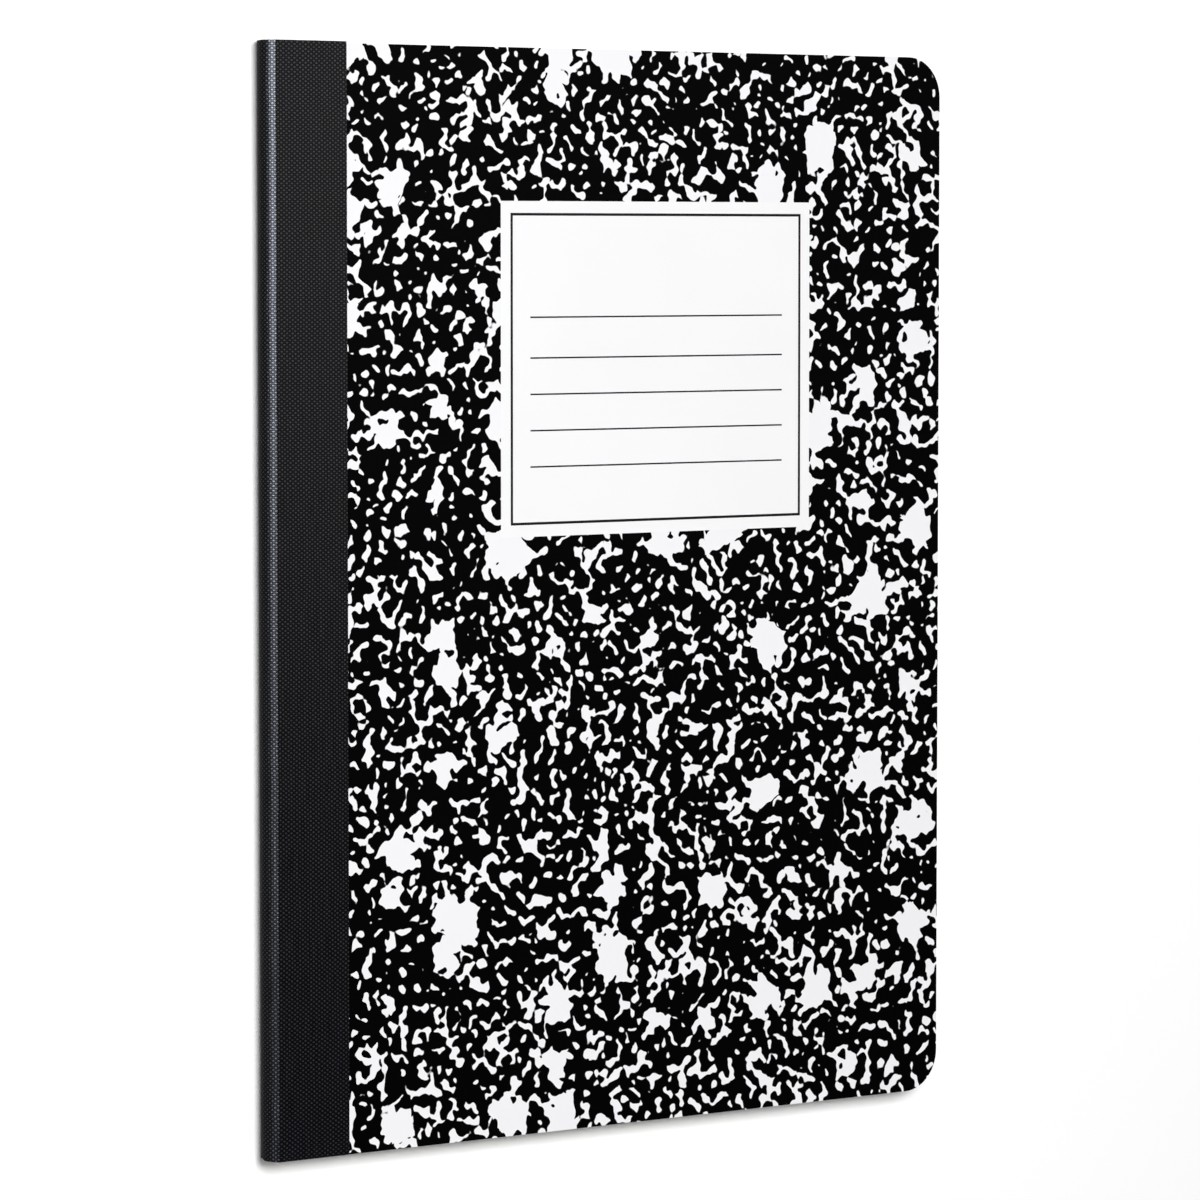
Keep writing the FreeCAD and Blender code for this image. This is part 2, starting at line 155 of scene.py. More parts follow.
def meshObject(name, vertices, faces, smooth=True):
    mesh = bpy.data.meshes.new(name)
    mesh.from_pydata(vertices, [], faces)
    mesh.validate()
    mesh.update()
    for polygon in mesh.polygons:
        polygon.use_smooth = smooth
    piece = bpy.data.objects.new(name, mesh)
    bpy.context.scene.collection.objects.link(piece)
    return piece


def faceOutward(piece):
    edited = bmesh.new()
    edited.from_mesh(piece.data)
    bmesh.ops.recalc_face_normals(edited, faces=edited.faces)
    edited.to_mesh(piece.data)
    edited.free()


def sharpenByAngle(piece, degrees):
    edited = bmesh.new()
    edited.from_mesh(piece.data)
    for edge in edited.edges:
        if len(edge.link_faces) == 2 and edge.calc_face_angle(0.0) > math.radians(degrees):
            edge.smooth = False
    edited.to_mesh(piece.data)
    edited.free()


# The ends of the spine are a little crushed towards the back cover, more at the tail,
# on which a book stands.
wornSpine = {
    "headDepth": 0.45,  # mm
    "tailDepth": 1.9,
    "place": -31.0,  # degrees round the spine from its back, towards the front cover
    "frontSpread": 16.0,  # degrees over which the wear fades towards the front cover
    "backSpread": 6.0,
}


def spineArc():
    # centre and radius of the arc through both hinge lines and the back of the spine
    depth = hingeX - spineX
    radius = (depth ** 2 + middleZ ** 2) / (2 * depth)
    return spineX + radius, radius


def spineWear(x, z, depthName):
    centreX, _ = spineArc()
    turn = math.degrees(math.atan2(z - middleZ, centreX - x)) - wornSpine["place"]
    spread = wornSpine["frontSpread"] if turn > 0 else wornSpine["backSpread"]
    return wornSpine[depthName] * mm * math.exp(-(turn / spread) ** 2)


def halfHeightAt(x):
    # half the height of the trimmed book, with its round corners at the fore-edge
    intoCorner = x - (foreX - foreCornerRadius)
    if intoCorner <= 0:
        return headY
    intoCorner = min(intoCorner, foreCornerRadius)
    return headY - foreCornerRadius + math.sqrt(foreCornerRadius ** 2 - intoCorner ** 2)


# Marbled cover paper: white coated paper printed in black, machine-varnished.
# It gives hard-edged white veins on a deep black, with a faint low sheen.
marbledPaper = {
    "paperWhite": "#E9E9EB",
    "inkBlack": "#010101",
    "bendSize": 2.15,  # mm, over which the veins bend
    "bendReach": 0.65,  # mm to each side
    "veinSize": 4.65,  # mm, over which the veins turn
    "veinRound": 0.08,  # level over which the top of a vein is rounded, and so its ends
    "breakSize": 2.15,  # mm from one break in a vein to the next
    "breakStrength": 0.34,
    "edgeSize": 1.6,  # mm, over which the veins' edges wander
    "edgeStrength": 0.05,
    "clearingSize": 9.0,  # mm, over which the ground opens and closes
    "clearingStrength": 0.14,
    "shifts": {  # mm, so that the three noises above don't lie on one another
        "break": (37.0, 91.0, 0.0),
        "edge": (71.0, 23.0, 0.0),
        "clearing": (13.0, 57.0, 0.0),
    },
    "splashPitch": 15.0,  # mm between the places where a splash may lie
    "splashShare": 0.68,  # share of those places that have one
    "splashSmall": 0.6,  # mm, radius
    "splashLarge": 6.0,
    "splashRarity": 2.5,  # power that makes large splashes rarer than small ones
    "splashSkirt": 2.0,  # mm outside a splash in which the ground clears
    "splashSlope": 0.08,  # level gained for each mm into a splash
    "inkLevel": -0.0863,  # level under which the sheet is black
    "sharpness": 0.006,  # level on each side of that, over which black turns to white
    "grain": 0.35,  # mm
    "reliefStrength": 0.06,
    "reliefHeight": 0.01,  # mm
    "roughness": (0.39, 0.51),
    "gloss": 0.03,
}


def marbledPaperMaterial(name, shift):
    s = marbledPaper
    material, tree = newMaterial(name)
    place = placeInMm(tree)
    sheet = addNode(tree, "ShaderNodeVectorMath", {0: place, 1: shift}, operation="ADD").outputs[0]
    bend = addNode(tree, "ShaderNodeTexNoise",
                   {"Vector": sheet, "Scale": 1 / s["bendSize"], "Detail": 0.0}, noise_dimensions="2D")
    sideways = addNode(tree, "ShaderNodeVectorMath", {0: bend.outputs["Color"], 1: (noiseMiddle,) * 3},
                       operation="SUBTRACT")
    bent = addNode(tree, "ShaderNodeVectorMath",
                   {0: sideways.outputs[0], 1: (s["bendReach"] / noiseMiddle,) * 3, 2: sheet},
                   operation="MULTIPLY_ADD").outputs[0]
    # A vein runs where a slow noise has its middle value, and its level falls off to both sides.
    fromVein = swing(tree, bent, s["veinSize"])
    squared = addNode(tree, "ShaderNodeMath", {0: fromVein, 1: fromVein, 2: s["veinRound"] ** 2},
                      operation="MULTIPLY_ADD")
    rounded = addNode(tree, "ShaderNodeMath", {0: squared.outputs[0]}, operation="SQRT")
    level = addNode(tree, "ShaderNodeMath", {0: rounded.outputs[0], 1: -1.0},
                    operation="MULTIPLY").outputs[0]
    # Quicker noises break the veins up, fray their edges and clear the ground in places.
    for name, vector in (("break", bent), ("edge", sheet), ("clearing", sheet)):
        level = addNode(tree, "ShaderNodeMath",
                        {0: swing(tree, vector, s[name + "Size"], s["shifts"][name]),
                         1: s[name + "Strength"], 2: level}, operation="MULTIPLY_ADD").outputs[0]
    # Splashes: some places have one, and most are small.
    cell = addNode(tree, "ShaderNodeTexVoronoi", {"Vector": bent, "Scale": 1 / s["splashPitch"]},
                   voronoi_dimensions="2D", feature="F1")
    chance = addNode(tree, "ShaderNodeSeparateColor", {0: cell.outputs["Color"]}).outputs[0]
    size = addNode(tree, "ShaderNodeMapRange",
                   {"Value": chance, "From Min": 1 - s["splashShare"], "From Max": 1.0})
    mostlySmall = addNode(tree, "ShaderNodeMath", {0: size.outputs[0], 1: s["splashRarity"]},
                          operation="POWER")
    none = addNode(tree, "ShaderNodeMath", {0: chance, 1: 1 - s["splashShare"]}, operation="LESS_THAN")
    drawn = addNode(tree, "ShaderNodeMath", {0: mostlySmall.outputs[0], 1: none.outputs[0]},
                    operation="SUBTRACT")
    reach = addNode(tree, "ShaderNodeMapRange",
                    {"Value": drawn.outputs[0], "To Min": s["splashSmall"] + s["splashSkirt"],
                     "To Max": s["splashLarge"] + s["splashSkirt"]}, clamp=False)
    inside = addNode(tree, "ShaderNodeMath",
                     {0: cell.outputs["Distance"], 1: -s["splashPitch"], 2: reach.outputs[0]},
                     operation="MULTIPLY_ADD")
    kept = addNode(tree, "ShaderNodeMath", {0: inside.outputs[0], 1: 0.0}, operation="MAXIMUM")
    splashed = addNode(tree, "ShaderNodeMath", {0: kept.outputs[0], 1: s["splashSlope"], 2: level},
                       operation="MULTIPLY_ADD")
    white = addNode(tree, "ShaderNodeMapRange",
                    {"Value": splashed.outputs[0], "From Min": s["inkLevel"] - s["sharpness"],
                     "From Max": s["inkLevel"] + s["sharpness"]})
    colour = addNode(tree, "ShaderNodeMix",
                     {0: white.outputs[0], 6: linearColour(s["inkBlack"]), 7: linearColour(s["paperWhite"])},
                     data_type="RGBA")
    grain = addNode(tree, "ShaderNodeTexNoise", {"Vector": place, "Scale": 1 / s["grain"], "Detail": 2.0})
    finishMaterial(tree, s, colour.outputs[2], grain.outputs["Fac"])
    return material


# Black book cloth: plain-woven cotton, starched and coated, then coloured black.
# The eye gets rows of small raised threads that catch the light, on a charcoal ground. That light, and the
# shade between the threads, are painted into the colour.
bookCloth = {
    # painted highlight and shade: the warp, which lies on top, is coloured lighter than the lower weft, and
    # the gaps between threads darkest
    "warpLitColour": "#28272F",
    "weftShadedColour": "#0A0A0D",
    "gapShadeColour": "#010101",
    "warpPitch": 0.72,  # mm, coarser than in real book cloth, so that the weave shows
    "weftPitch": 0.5,
    "weftHeight": 0.3,  # share of the warp's height
    "crown": 0.8,  # power that flattens the top of a thread
    "crossing": 0.12,  # how softly one thread goes under the next
    "drift": 0.5,  # mm to each side that the threads wander
    "driftScale": 0.12,  # turns of that wander for each mm
    "slubScale": (2.0, 1 / 9.0, 1.0),  # for each mm, across and along a thread that is thicker than the rest
    "slubHeight": (0.7, 1.15),  # height of the thinnest and the thickest thread
    "reliefStrength": 0.8,
    "reliefHeight": 0.025,  # mm
    "roughness": (0.25, 0.37),
    "gapGloss": 0.04,  # between the threads and on top of them
    "crestGloss": 0.5,
}


def bookClothMaterial():
    s = bookCloth
    material, tree = newMaterial("blackBookCloth")
    strip = addNode(tree, "ShaderNodeAttribute", attribute_name="alongTape")
    drift = addNode(tree, "ShaderNodeTexNoise",
                    {"Vector": strip.outputs["Vector"], "Scale": s["driftScale"], "Detail": 1.0})
    driftCentred = addNode(tree, "ShaderNodeVectorMath",
                           {0: drift.outputs["Color"], 1: (noiseMiddle,) * 3}, operation="SUBTRACT")
    wandering = addNode(tree, "ShaderNodeVectorMath",
                        {0: driftCentred.outputs[0], 1: (s["drift"], s["drift"], 0.0),
                         2: strip.outputs["Vector"]}, operation="MULTIPLY_ADD")
    axes = addNode(tree, "ShaderNodeSeparateXYZ", {0: wandering.outputs[0]})
    waves = []
    for axis, pitch in (("X", s["warpPitch"]), ("Y", s["weftPitch"])):
        turn = addNode(tree, "ShaderNodeMath", {0: axes.outputs[axis], 1: math.pi / pitch},
                       operation="MULTIPLY")
        waves.append(addNode(tree, "ShaderNodeMath", {0: turn.outputs[0]}, operation="SINE"))
    acrossWarp, acrossWeft = waves
    sign = addNode(tree, "ShaderNodeMath", {0: acrossWarp.outputs[0], 1: acrossWeft.outputs[0]},
                   operation="MULTIPLY")
    warpOver = addNode(tree, "ShaderNodeMapRange",
                       {"Value": sign.outputs[0], "From Min": -s["crossing"], "From Max": s["crossing"]})
    knuckle = addNode(tree, "ShaderNodeMath", {0: sign.outputs[0]}, operation="ABSOLUTE")
    rounded = addNode(tree, "ShaderNodeMath", {0: knuckle.outputs[0], 1: s["crown"]}, operation="POWER")
    share = addNode(tree, "ShaderNodeMapRange",
                    {"Value": warpOver.outputs[0], "To Min": s["weftHeight"], "To Max": 1.0})
    height = addNode(tree, "ShaderNodeMath", {0: rounded.outputs[0], 1: share.outputs[0]},
                     operation="MULTIPLY")
    stretched = addNode(tree, "ShaderNodeVectorMath", {0: wandering.outputs[0], 1: s["slubScale"]},
                        operation="MULTIPLY")
    slubs = addNode(tree, "ShaderNodeTexNoise", {"Vector": stretched.outputs[0], "Scale": 1.0, "Detail": 2.0})
    thinnest, thickest = s["slubHeight"]
    uneven = addNode(tree, "ShaderNodeMapRange",
                     {"Value": slubs.outputs["Fac"], "From Min": noiseLow, "From Max": noiseHigh,
                      "To Min": thinnest, "To Max": thickest})
    thread = addNode(tree, "ShaderNodeMath", {0: height.outputs[0], 1: uneven.outputs[0]},
                     operation="MULTIPLY")
    # painted highlight and shade: the colour follows the thread on top and the height of the weave, and is
    # darkest in the gaps
    threadLightAndShade = addNode(tree, "ShaderNodeMix",
                           {0: warpOver.outputs[0], 6: linearColour(s["weftShadedColour"]),
                            7: linearColour(s["warpLitColour"])}, data_type="RGBA")
    colour = addNode(tree, "ShaderNodeMix",
                     {0: thread.outputs[0], 6: linearColour(s["gapShadeColour"]), 7: threadLightAndShade.outputs[2]},
                     data_type="RGBA")
    gloss = addNode(tree, "ShaderNodeMapRange",
                    {"Value": thread.outputs[0], "To Min": s["gapGloss"], "To Max": s["crestGloss"]})
    finishMaterial(tree, s, colour.outputs[2], thread.outputs[0], unevenness=slubs.outputs["Fac"],
                   gloss=gloss.outputs[0])
    return material


# Pasteboard: layers of pulp pressed together. It shows a soft, flecked, slightly warm grey-white.
pasteboard = {
    "pulp": "#DEDBD2",
    "fleck": "#B9B4A8",
    "fibreLength": 2.2,  # mm
    "fleckSize": 0.6,  # mm
    "fleckNoise": (0.56, 0.72),  # noise values between which a fleck fades in
    "fleckStrength": 0.55,
    "reliefStrength": 0.35,
    "reliefHeight": 0.05,  # mm
    "roughness": (0.77, 0.93),
    "gloss": 0.3,
}


def pasteboardMaterial():
    s = pasteboard
    material, tree = newMaterial("pressedPasteboard")
    place = placeInMm(tree)
    fibres = addNode(tree, "ShaderNodeTexNoise",
                     {"Vector": place, "Scale": 1 / s["fibreLength"], "Detail": 6.0, "Roughness": 0.7,
                      "Distortion": 0.8})
    flecks = addNode(tree, "ShaderNodeTexNoise",
                     {"Vector": place, "Scale": 1 / s["fleckSize"], "Detail": 3.0})
    faint, full = s["fleckNoise"]
    fleckAmount = addNode(tree, "ShaderNodeMapRange",
                          {"Value": flecks.outputs["Fac"], "From Min": faint, "From Max": full,
                           "To Max": s["fleckStrength"]})
    colour = addNode(tree, "ShaderNodeMix",
                     {0: fleckAmount.outputs[0], 6: linearColour(s["pulp"]), 7: linearColour(s["fleck"])},
                     data_type="RGBA")
    finishMaterial(tree, s, colour.outputs[2], fibres.outputs["Fac"])
    return material


# Offset-printed label: the bare white of the coated paper, with black rules. Smooth, with a low sheen.
labelPrint = {
    "white": "#ECECED",
    "black": "#08080A",
    "cloudSize": 25.0,  # mm
    "cloudTone": 0.985,  # share of the colour that is left in the darkest cloud
    "grain": 0.4,  # mm
    "reliefStrength": 0.1,
    "reliefHeight": 0.01,  # mm
    "roughness": (0.45, 0.55),
    "gloss": 0.2,
}


def labelMaterial(name, hexCode):
    s = labelPrint
    material, tree = newMaterial(name)
    place = placeInMm(tree)
    clouds = addNode(tree, "ShaderNodeTexNoise",
                     {"Vector": place, "Scale": 1 / s["cloudSize"], "Detail": 1.0})
    tone = addNode(tree, "ShaderNodeMapRange",
                   {"Value": clouds.outputs["Fac"], "From Min": noiseLow, "From Max": noiseHigh,
                    "To Min": s["cloudTone"], "To Max": 1.0})
    colour = addNode(tree, "ShaderNodeMix",
                     {0: 1.0, 6: linearColour(hexCode), 7: tone.outputs[0]}, data_type="RGBA",
                     blend_type="MULTIPLY")
    grain = addNode(tree, "ShaderNodeTexNoise", {"Vector": place, "Scale": 1 / s["grain"], "Detail": 3.0})
    finishMaterial(tree, s, colour.outputs[2], grain.outputs["Fac"])
    return material


# Writing paper: uncoated, machine-made and wide-ruled. It is matt, off-white and faintly clouded,
# and its trimmed edges are a stack of thin lines.
writingPaper = {
    "paper": "#F4F2EC",
    "cloud": "#F0EEE7",
    "cloudSize": 3.0,  # mm
    "cloudNoise": (0.35, 0.7),  # noise values between which a cloud fades in
    "ruleInk": "#8FB2DC",
    "marginInk": "#E58C99",
    "ruleSpacing": 8.73,  # mm
    "headSpace": 31.0,  # mm above the first rule
    "marginFromSpine": 31.75,  # mm on a right-hand page, and from the fore-edge on a left-hand one
    "lineWidth": 0.3,  # mm
    "reliefStrength": 0.25,
    "reliefHeight": 0.02,  # mm
    "roughness": (0.84, 0.94),
    "gloss": 0.25,
}


def writingPaperMaterial(name, marginX=None):
    # with a margin line given, the page is ruled
    s = writingPaper
    material, tree = newMaterial(name)
    place = placeInMm(tree)
    clouds = addNode(tree, "ShaderNodeTexNoise",
                     {"Vector": place, "Scale": 1 / s["cloudSize"], "Detail": 5.0})
    faint, full = s["cloudNoise"]
    cloudAmount = addNode(tree, "ShaderNodeMapRange",
                          {"Value": clouds.outputs["Fac"], "From Min": faint, "From Max": full})
    colour = addNode(tree, "ShaderNodeMix",
                     {0: cloudAmount.outputs[0], 6: linearColour(s["paper"]), 7: linearColour(s["cloud"])},
                     data_type="RGBA").outputs[2]
    if marginX is not None:
        axes = addNode(tree, "ShaderNodeSeparateXYZ", {0: place})
        firstRule = headY / mm - s["headSpace"]
        halfLine = s["lineWidth"] / 2 / s["ruleSpacing"]
        count = addNode(tree, "ShaderNodeMapRange",
                        {"Value": axes.outputs["Y"], "From Min": firstRule,
                         "From Max": firstRule - s["ruleSpacing"]}, clamp=False)
        toRule = addNode(tree, "ShaderNodeMath", {0: count.outputs[0], 1: 0.5}, operation="PINGPONG")
        onRule = addNode(tree, "ShaderNodeMath", {0: toRule.outputs[0], 1: halfLine},
                         operation="LESS_THAN")
        belowHead = addNode(tree, "ShaderNodeMath", {0: count.outputs[0], 1: -2 * halfLine},
                            operation="GREATER_THAN")
        ruled = addNode(tree, "ShaderNodeMath", {0: onRule.outputs[0], 1: belowHead.outputs[0]},
                        operation="MULTIPLY")
        onMargin = addNode(tree, "ShaderNodeMath",
                           {0: axes.outputs["X"], 1: marginX / mm, 2: s["lineWidth"] / 2},
                           operation="COMPARE")
        for line, ink in ((ruled, s["ruleInk"]), (onMargin, s["marginInk"])):
            colour = addNode(tree, "ShaderNodeMix", {0: line.outputs[0], 6: colour, 7: linearColour(ink)},
                             data_type="RGBA").outputs[2]
    finishMaterial(tree, s, colour, clouds.outputs["Fac"])
    return material


# Cotton sewing thread: two plies twisted together, unbleached white and matt, with painted shade in the
# grooves between the plies.
sewingCotton = {
    "cotton": "#E9E4D8",
    # painted shade for the grooves between the plies
    "shade": "#C9C2B2",
    "plyPitch": 0.8,  # mm
    "reliefStrength": 0.6,
    "reliefHeight": 0.05,  # mm
    "roughness": (0.8, 0.9),
    "gloss": 0.5,
}


def sewingCottonMaterial():
    s = sewingCotton
    material, tree = newMaterial("twistedCottonThread")
    place = placeInMm(tree)
    ply = addNode(tree, "ShaderNodeTexWave",
                  {"Vector": place, "Scale": waveLength / s["plyPitch"], "Distortion": 1.0, "Detail": 1.0},
                  wave_type="BANDS", bands_direction="DIAGONAL")
    # painted shade: the colour turns to the darker shade where the ply bands are low, in the grooves between
    # the plies
    colour = addNode(tree, "ShaderNodeMix",
                     {0: ply.outputs["Fac"], 6: linearColour(s["shade"]), 7: linearColour(s["cotton"])},
                     data_type="RGBA")
    finishMaterial(tree, s, colour.outputs[2], ply.outputs["Fac"])
    return material


# Printed skin of a cover: the marbled paper, cut flush with the board, butting against the tape.
coverSkin = {
    "thickness": 0.035,  # mm
    "cornerSteps": 14,
    "frontShift": (0.0, 0.0, 0.0),  # mm by which the marbling is moved, so that the covers differ
    "backShift": (311.0, 57.0, 0.0),
}


def coverOutline():
    steps = coverSkin["cornerSteps"]
    radius = foreCornerRadius
    points = [(tapeHigh.x, tailY)]
    for centreY, start in ((tailY + radius, -math.pi / 2), (headY - radius, 0.0)):
        for step in range(steps + 1):
            turn = start + math.pi / 2 * step / steps
            points.append((foreX - radius + radius * math.cos(turn), centreY + radius * math.sin(turn)))
    points.append((tapeHigh.x, headY))
    return points


def flatPlate(name, loops, lowZ, highZ):
    # a thin plate from an outline and the outlines of its holes
    flat = [[Vector((x, y, 0)) for x, y in loop] for loop in loops]
    triangles = geometry.tessellate_polygon(flat)
    points = [p for loop in loops for p in loop]
    count = len(points)
    vertices = [(x, y, highZ) for x, y in points] + [(x, y, lowZ) for x, y in points]
    faces = [tuple(t) for t in triangles]
    faces += [tuple(i + count for i in reversed(t)) for t in triangles]
    start = 0
    for loop in loops:
        size = len(loop)
        for i in range(size):
            a, b = start + i, start + (i + 1) % size
            faces.append((a, a + count, b + count, b))
        start += size
    plate = meshObject(name, vertices, faces, smooth=False)
    faceOutward(plate)
    return plate


def makeCoverSkins():
    s = coverSkin
    thickness = s["thickness"] * mm
    label = [(labelLow.x, labelLow.y), (labelHigh.x, labelLow.y),
             (labelHigh.x, labelHigh.y), (labelLow.x, labelHigh.y)]
    front = flatPlate("frontMarbledPaper", [coverOutline(), label], coverHigh.z, coverHigh.z + thickness)
    dress(front, marbledPaperMaterial("marbledPaperFront", s["frontShift"]))
    back = flatPlate("backMarbledPaper", [coverOutline()], backLow.z - thickness, backLow.z)
    dress(back, marbledPaperMaterial("marbledPaperBack", s["backShift"]))
    for skin, body, node in ((front, "front", "front_marbling"), (back, "back", "back_marbling")):
        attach(skin, body)
        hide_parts(node)


makeCoverSkins()
print("marbled covers made")


# Cloth tape: one strip round the spine. It is two meshes, one for each cover, that meet in the middle of the
# spine.
clothTape = {
    "coverSteps": 8,
    "hingeSteps": 10,
    "spineSteps": 30,
    "rows": 100,
    "softenPasses": 2,  # times that the ridge over the board's edge is rounded
    "creaseAngle": 50,  # degrees over which an edge of the mesh stays sharp
    "spineWaviness": 0.12,  # mm
    "waveRow": 3.7,  # row of the noise that the waves are read from, and then the wander
    "wanderRow": 9.1,
    "wavePitch": 55.0,  # mm
    "edgeWander": 0.12,  # mm
    "edgeFade": 6.0,  # mm from the tape's edge over which its wander fades
    "headOverhang": 0.4,  # mm by which the tape stands over the covers at the head
    "hingeReach": 0.45,  # mm to each side of the hinge line
}


def tapeProfile():
    # outer line of the front half of the tape, from its edge on the cover to the middle of the spine
    s = clothTape
    centreX, radius = spineArc()
    reach = s["hingeReach"] * mm
    line = []
    for i in range(s["coverSteps"]):
        share = i / s["coverSteps"]
        line.append(Vector((tapeHigh.x + (hingeX + reach - tapeHigh.x) * share, 0, topZ)))
    for i in range(s["hingeSteps"]):
        x = hingeX + reach * (1 - 2 * i / s["hingeSteps"])
        z = topZ
        if x < hingeX:
            z = middleZ + math.sqrt(radius ** 2 - (centreX - x) ** 2)
        line.append(Vector((x, 0, z)))
    startTurn = math.asin((line[-1].z - middleZ) / radius)
    for i in range(1, s["spineSteps"] + 1):
        turn = startTurn * (1 - i / s["spineSteps"])
        line.append(Vector((centreX - radius * math.cos(turn), 0, middleZ + radius * math.sin(turn))))
    return line


def softened(line, passes):
    # rounds the ridge over the board's edge a little, with both ends kept
    for _ in range(passes):
        line = [line[0]] + [(a + 2 * b + c) / 4 for a, b, c in zip(line, line[1:], line[2:])] + [line[-1]]
    return line


def makeTapeHalf(name, side):
    # side is 1 for the front cover and -1 for the back cover
    s = clothTape
    line = softened(tapeProfile(), s["softenPasses"])
    normals = []
    for i in range(len(line)):
        ahead = line[min(i + 1, len(line) - 1)] - line[max(i - 1, 0)]
        normals.append(Vector((ahead.z, 0, -ahead.x)).normalized())
    normals[-1] = Vector((-1, 0, 0))
    lengths = [0.0]
    for a, b in zip(line, line[1:]):
        lengths.append(lengths[-1] + (b - a).length)
    total = lengths[-1]
    vertices = []
    along = []
    rows = s["rows"]
    wavePitch = s["wavePitch"] * mm
    for layer in (0, 1):
        for point, normal, length in zip(line, normals, lengths):
            onSpine = max(0.0, (hingeX - point.x) / (hingeX - spineX))
            atEdge = max(0.0, 1 - length / (s["edgeFade"] * mm))
            wearZ = middleZ + side * (point.z - middleZ)
            low = tailY + spineWear(point.x, wearZ, "tailDepth")
            high = headY + s["headOverhang"] * mm - spineWear(point.x, wearZ, "headDepth")
            for row in range(rows + 1):
                y = low + (high - low) * row / rows
                wave = noise.noise(Vector((y / wavePitch, s["waveRow"], 0.0)))
                wander = noise.noise(Vector((y / wavePitch, s["wanderRow"], side)))
                offset = normal * (-abs(wave) * s["spineWaviness"] * mm * onSpine - layer * tapeThickness)
                x = point.x + offset.x - abs(wander) * s["edgeWander"] * mm * atEdge
                z = point.z + offset.z
                vertices.append((x, y, middleZ + side * (z - middleZ)))
                along.append(((total - length) / mm * side, y / mm, 0.0))
    columns = len(line)
    stride = rows + 1
    inner = columns * stride
    faces = []
    for i in range(columns - 1):
        for row in range(rows):
            a = i * stride + row
            faces.append((a, a + 1, a + stride + 1, a + stride))
            faces.append((inner + a, inner + a + stride, inner + a + stride + 1, inner + a + 1))
    for i in range(columns - 1):
        for edge in (0, rows):
            a = i * stride + edge
            faces.append((a, a + stride, inner + a + stride, inner + a))
    for row in range(rows):
        for column in (0, columns - 1):
            a = column * stride + row
            faces.append((a, inner + a, inner + a + 1, a + 1))
    tape = meshObject(name, vertices, faces)
    attribute = tape.data.attributes.new("alongTape", "FLOAT_VECTOR", "POINT")
    attribute.data.foreach_set("vector", [v for point in along for v in point])
    faceOutward(tape)
    return tape, total


def makeTape():
    cloth = bookClothMaterial()
    for name, side, body, node in (("frontTapeCloth", 1, "front", "front_tape"),
                                   ("backTapeCloth", -1, "back", "back_tape")):
        tape, width = makeTapeHalf(name, side)
        sharpenByAngle(tape, clothTape["creaseAngle"])
        dress(tape, cloth)
        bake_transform(tape)
        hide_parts(node, "spine_tape")


makeTape()
print("cloth tape made")


# The leaves: fifty sheets, folded once and nested, then trimmed with the covers.
leaves = {
    "sheets": 50,
    "paperShare": 0.84,  # paper thickness as a share of the space for one leaf
    "trimWander": 0.10,  # mm that a sheet stands back at the fore-edge
    "slip": 0.07,  # mm that a sheet stands back at head or tail
    "foldEase": 0.3,  # mm from the round of the fold to the flat of the leaf
    "foldSpace": 6.0,  # mm from there to the next place along the leaf
    "innerGap": 0.01,  # mm, least half thickness of the innermost fold
    "cornerSteps": 8,
    "foldSteps": 11,
    "seed": 5,
}


def leafStations(startX, endX):
    # places along a leaf, closer together where the corner is round
    radius = foreCornerRadius
    steps = leaves["cornerSteps"]
    stations = [startX, startX + leaves["foldSpace"] * mm, endX - radius]
    for step in range(1, steps + 1):
        stations.append(endX - radius + radius * math.sin(math.pi / 2 * step / steps))
    return stations


def sheetProfile(depth, endX, centreX, foldRadius, halfBlock):
    # from the fore-edge over the front leaf, round the fold and back along the back leaf
    s = leaves
    radius = foldRadius - depth
    half = max(halfBlock - depth, s["innerGap"] * mm)
    turn = math.asin(half / radius)
    foldX = centreX - radius * math.cos(turn)
    front = [Vector((x, 0, half)) for x in reversed(leafStations(foldX + s["foldEase"] * mm, endX))]
    turns = [turn * (1 - 2 * i / s["foldSteps"]) for i in range(s["foldSteps"] + 1)]
    fold = [Vector((centreX - radius * math.cos(t), 0, radius * math.sin(t))) for t in turns]
    back = [Vector((p.x, 0, -p.z)) for p in reversed(front)]
    return front + fold + back


